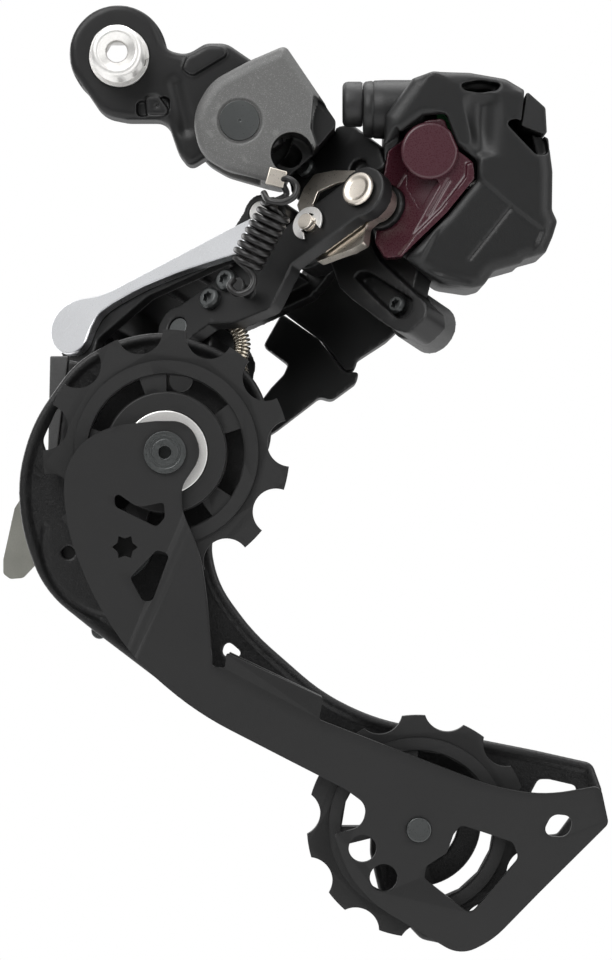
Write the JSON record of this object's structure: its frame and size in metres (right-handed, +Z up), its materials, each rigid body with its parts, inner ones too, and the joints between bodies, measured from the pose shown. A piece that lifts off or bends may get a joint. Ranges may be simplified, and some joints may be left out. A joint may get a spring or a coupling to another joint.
{
  "type": "rear bicycle derailleur",
  "caption": "Electric rear derailleur with a slanted parallelogram, motor unit, clutch housing and a long cage that carries two toothed pulleys.",
  "frame": {"origin": "on the mount bolt's axis, at the face that rests against the frame's hanger", "axes": "+X to the rear of the bicycle, +Y outboard away from the wheel, +Z up"},
  "size_m": [0.1148, 0.0606, 0.1788],
  "materials": {
    "black_satin_alloy": "satin",
    "bolt_steel": "polished",
    "dark_steel": "satin",
    "spring_steel": "satin",
    "spring_black": "satin",
    "grey_paint": "satin",
    "grey_cast": "matte",
    "black_plastic": "matte",
    "maroon_plastic": "matte",
    "black_rubber": "matte",
    "bright_steel": "bright",
    "brass_gear": "satin",
    "board_green": "gloss",
    "champagne_steel": "satin",
    "polished_trim": "polished",
    "lever_grey": "satin",
    "black_carbon_plate": "satin",
    "black_cage_plate": "satin",
    "pulley_black": "satin"
  },
  "bodies": {
    "b_link": {"b_link": "black_satin_alloy", "bolt_snap_ring": "bolt_steel", "bolt_sleeve": "bolt_steel", "b_axle": "dark_steel", "b_spring": "spring_steel"},
    "mount_bolt": {"mount_bolt": "bolt_steel"},
    "b_body": {"base_housing": "grey_paint", "base_bracket": "black_satin_alloy", "lug_bush": "grey_cast", "motor_shell": "black_plastic", "motor_back": "black_plastic", "gear_case": "maroon_plastic", "gear_cap": "maroon_plastic", "side_cover": "black_plastic", "port_barrel": "black_plastic", "port_plug": "black_rubber", "motor": "bright_steel", "motor_worm": "brass_gear", "circuit_board": "board_green", "inner_pin": "champagne_steel", "outer_pin": "bright_steel", "spring_post": "champagne_steel", "base_screws": "dark_steel", "lower_guard": "black_plastic", "guard_tail": "black_plastic"},
    "drive_gear": {"drive_gear": "brass_gear"},
    "inner_link": {"inner_link": "black_satin_alloy", "saver_plate": "champagne_steel", "drive_arm": "champagne_steel", "clip_pin": "champagne_steel", "e_clip": "bright_steel", "limit_screws": "dark_steel", "return_spring": "spring_black"},
    "outer_link": {"outer_frame": "black_satin_alloy", "outer_trim": "polished_trim"},
    "p_body": {"p_outer_pin": "bright_steel", "p_housing": "black_satin_alloy", "p_inner_pin": "dark_steel", "pivot_bush": "black_plastic", "clutch_cover": "grey_paint", "cover_screws": "dark_steel", "clutch_body": "bright_steel", "friction_band": "spring_steel", "cage_spring": "spring_steel", "p_tab": "grey_cast", "balance_spring": "spring_steel", "lever_pivot": "bright_steel"},
    "clutch_lever": {"clutch_lever": "lever_grey"},
    "cage": {"outer_plate": "black_carbon_plate", "inner_plate": "black_cage_plate", "cage_axle": "dark_steel", "stop_pin": "dark_steel", "guide_bolt": "dark_steel", "tension_bolt": "dark_steel"},
    "guide_wheel": {"guide_pulley": "pulley_black", "guide_bearing": "bright_steel", "guide_caps": "pulley_black"},
    "tension_wheel": {"tension_pulley": "pulley_black", "tension_bearing": "bright_steel", "tension_caps": "pulley_black"}
  },
  "joints": [
    {"name": "bolt_turn", "type": "hinge", "parent": "b_link", "child": "mount_bolt", "pos_m": [0, 0, 0], "axis": [0, 1, 0], "continuous": true},
    {"name": "b_pivot", "type": "hinge", "parent": "b_link", "child": "b_body", "pos_m": [0.023, 0, -0.0126], "axis": [0, 1, 0], "range_deg": [-5, 25], "deforming": ["b_spring"]},
    {"name": "link_swing", "type": "hinge", "parent": "b_body", "child": "outer_link", "pos_m": [0.02723, 0.00281, -0.02949], "axis": [-0.5621, -0.7622, 0.3211], "range_deg": [0, 80]},
    {"name": "inner_swing", "type": "hinge", "parent": "b_body", "child": "inner_link", "pos_m": [0.04533, -0.009, -0.02584], "axis": [-0.5621, -0.7622, 0.3211], "range_deg": [0, 80], "deforming": ["return_spring"]},
    {"name": "p_level", "type": "hinge", "parent": "outer_link", "child": "p_body", "pos_m": [-0.00807, 0.01836, -0.05439], "axis": [-0.5621, -0.7622, 0.3211], "range_deg": [-80, 0], "deforming": ["balance_spring"]},
    {"name": "gear_turn", "type": "hinge", "parent": "b_body", "child": "drive_gear", "pos_m": [0.0588, 0, -0.0189], "axis": [0, 1, 0], "range_deg": [0, 240]},
    {"name": "cage_turn", "type": "hinge", "parent": "p_body", "child": "cage", "pos_m": [0, 0, -0.0926], "axis": [0, 1, 0], "range_deg": [0, 105], "deforming": ["cage_spring"]},
    {"name": "lever_turn", "type": "hinge", "parent": "p_body", "child": "clutch_lever", "pos_m": [-0.0146, 0, -0.089], "axis": [0, 1, 0], "range_deg": [0, 50]},
    {"name": "guide_spin", "type": "hinge", "parent": "cage", "child": "guide_wheel", "pos_m": [0.0095, 0, -0.0754], "axis": [0, 1, 0], "continuous": true},
    {"name": "tension_spin", "type": "hinge", "parent": "cage", "child": "tension_wheel", "pos_m": [0.0564, 0, -0.1451], "axis": [0, 1, 0], "continuous": true}
  ],
  "couplings": [
    {"joint": "inner_swing", "follows": "link_swing", "ratio": 1},
    {"joint": "p_level", "follows": "link_swing", "ratio": -1},
    {"joint": "gear_turn", "follows": "link_swing", "ratio": 3}
  ]
}
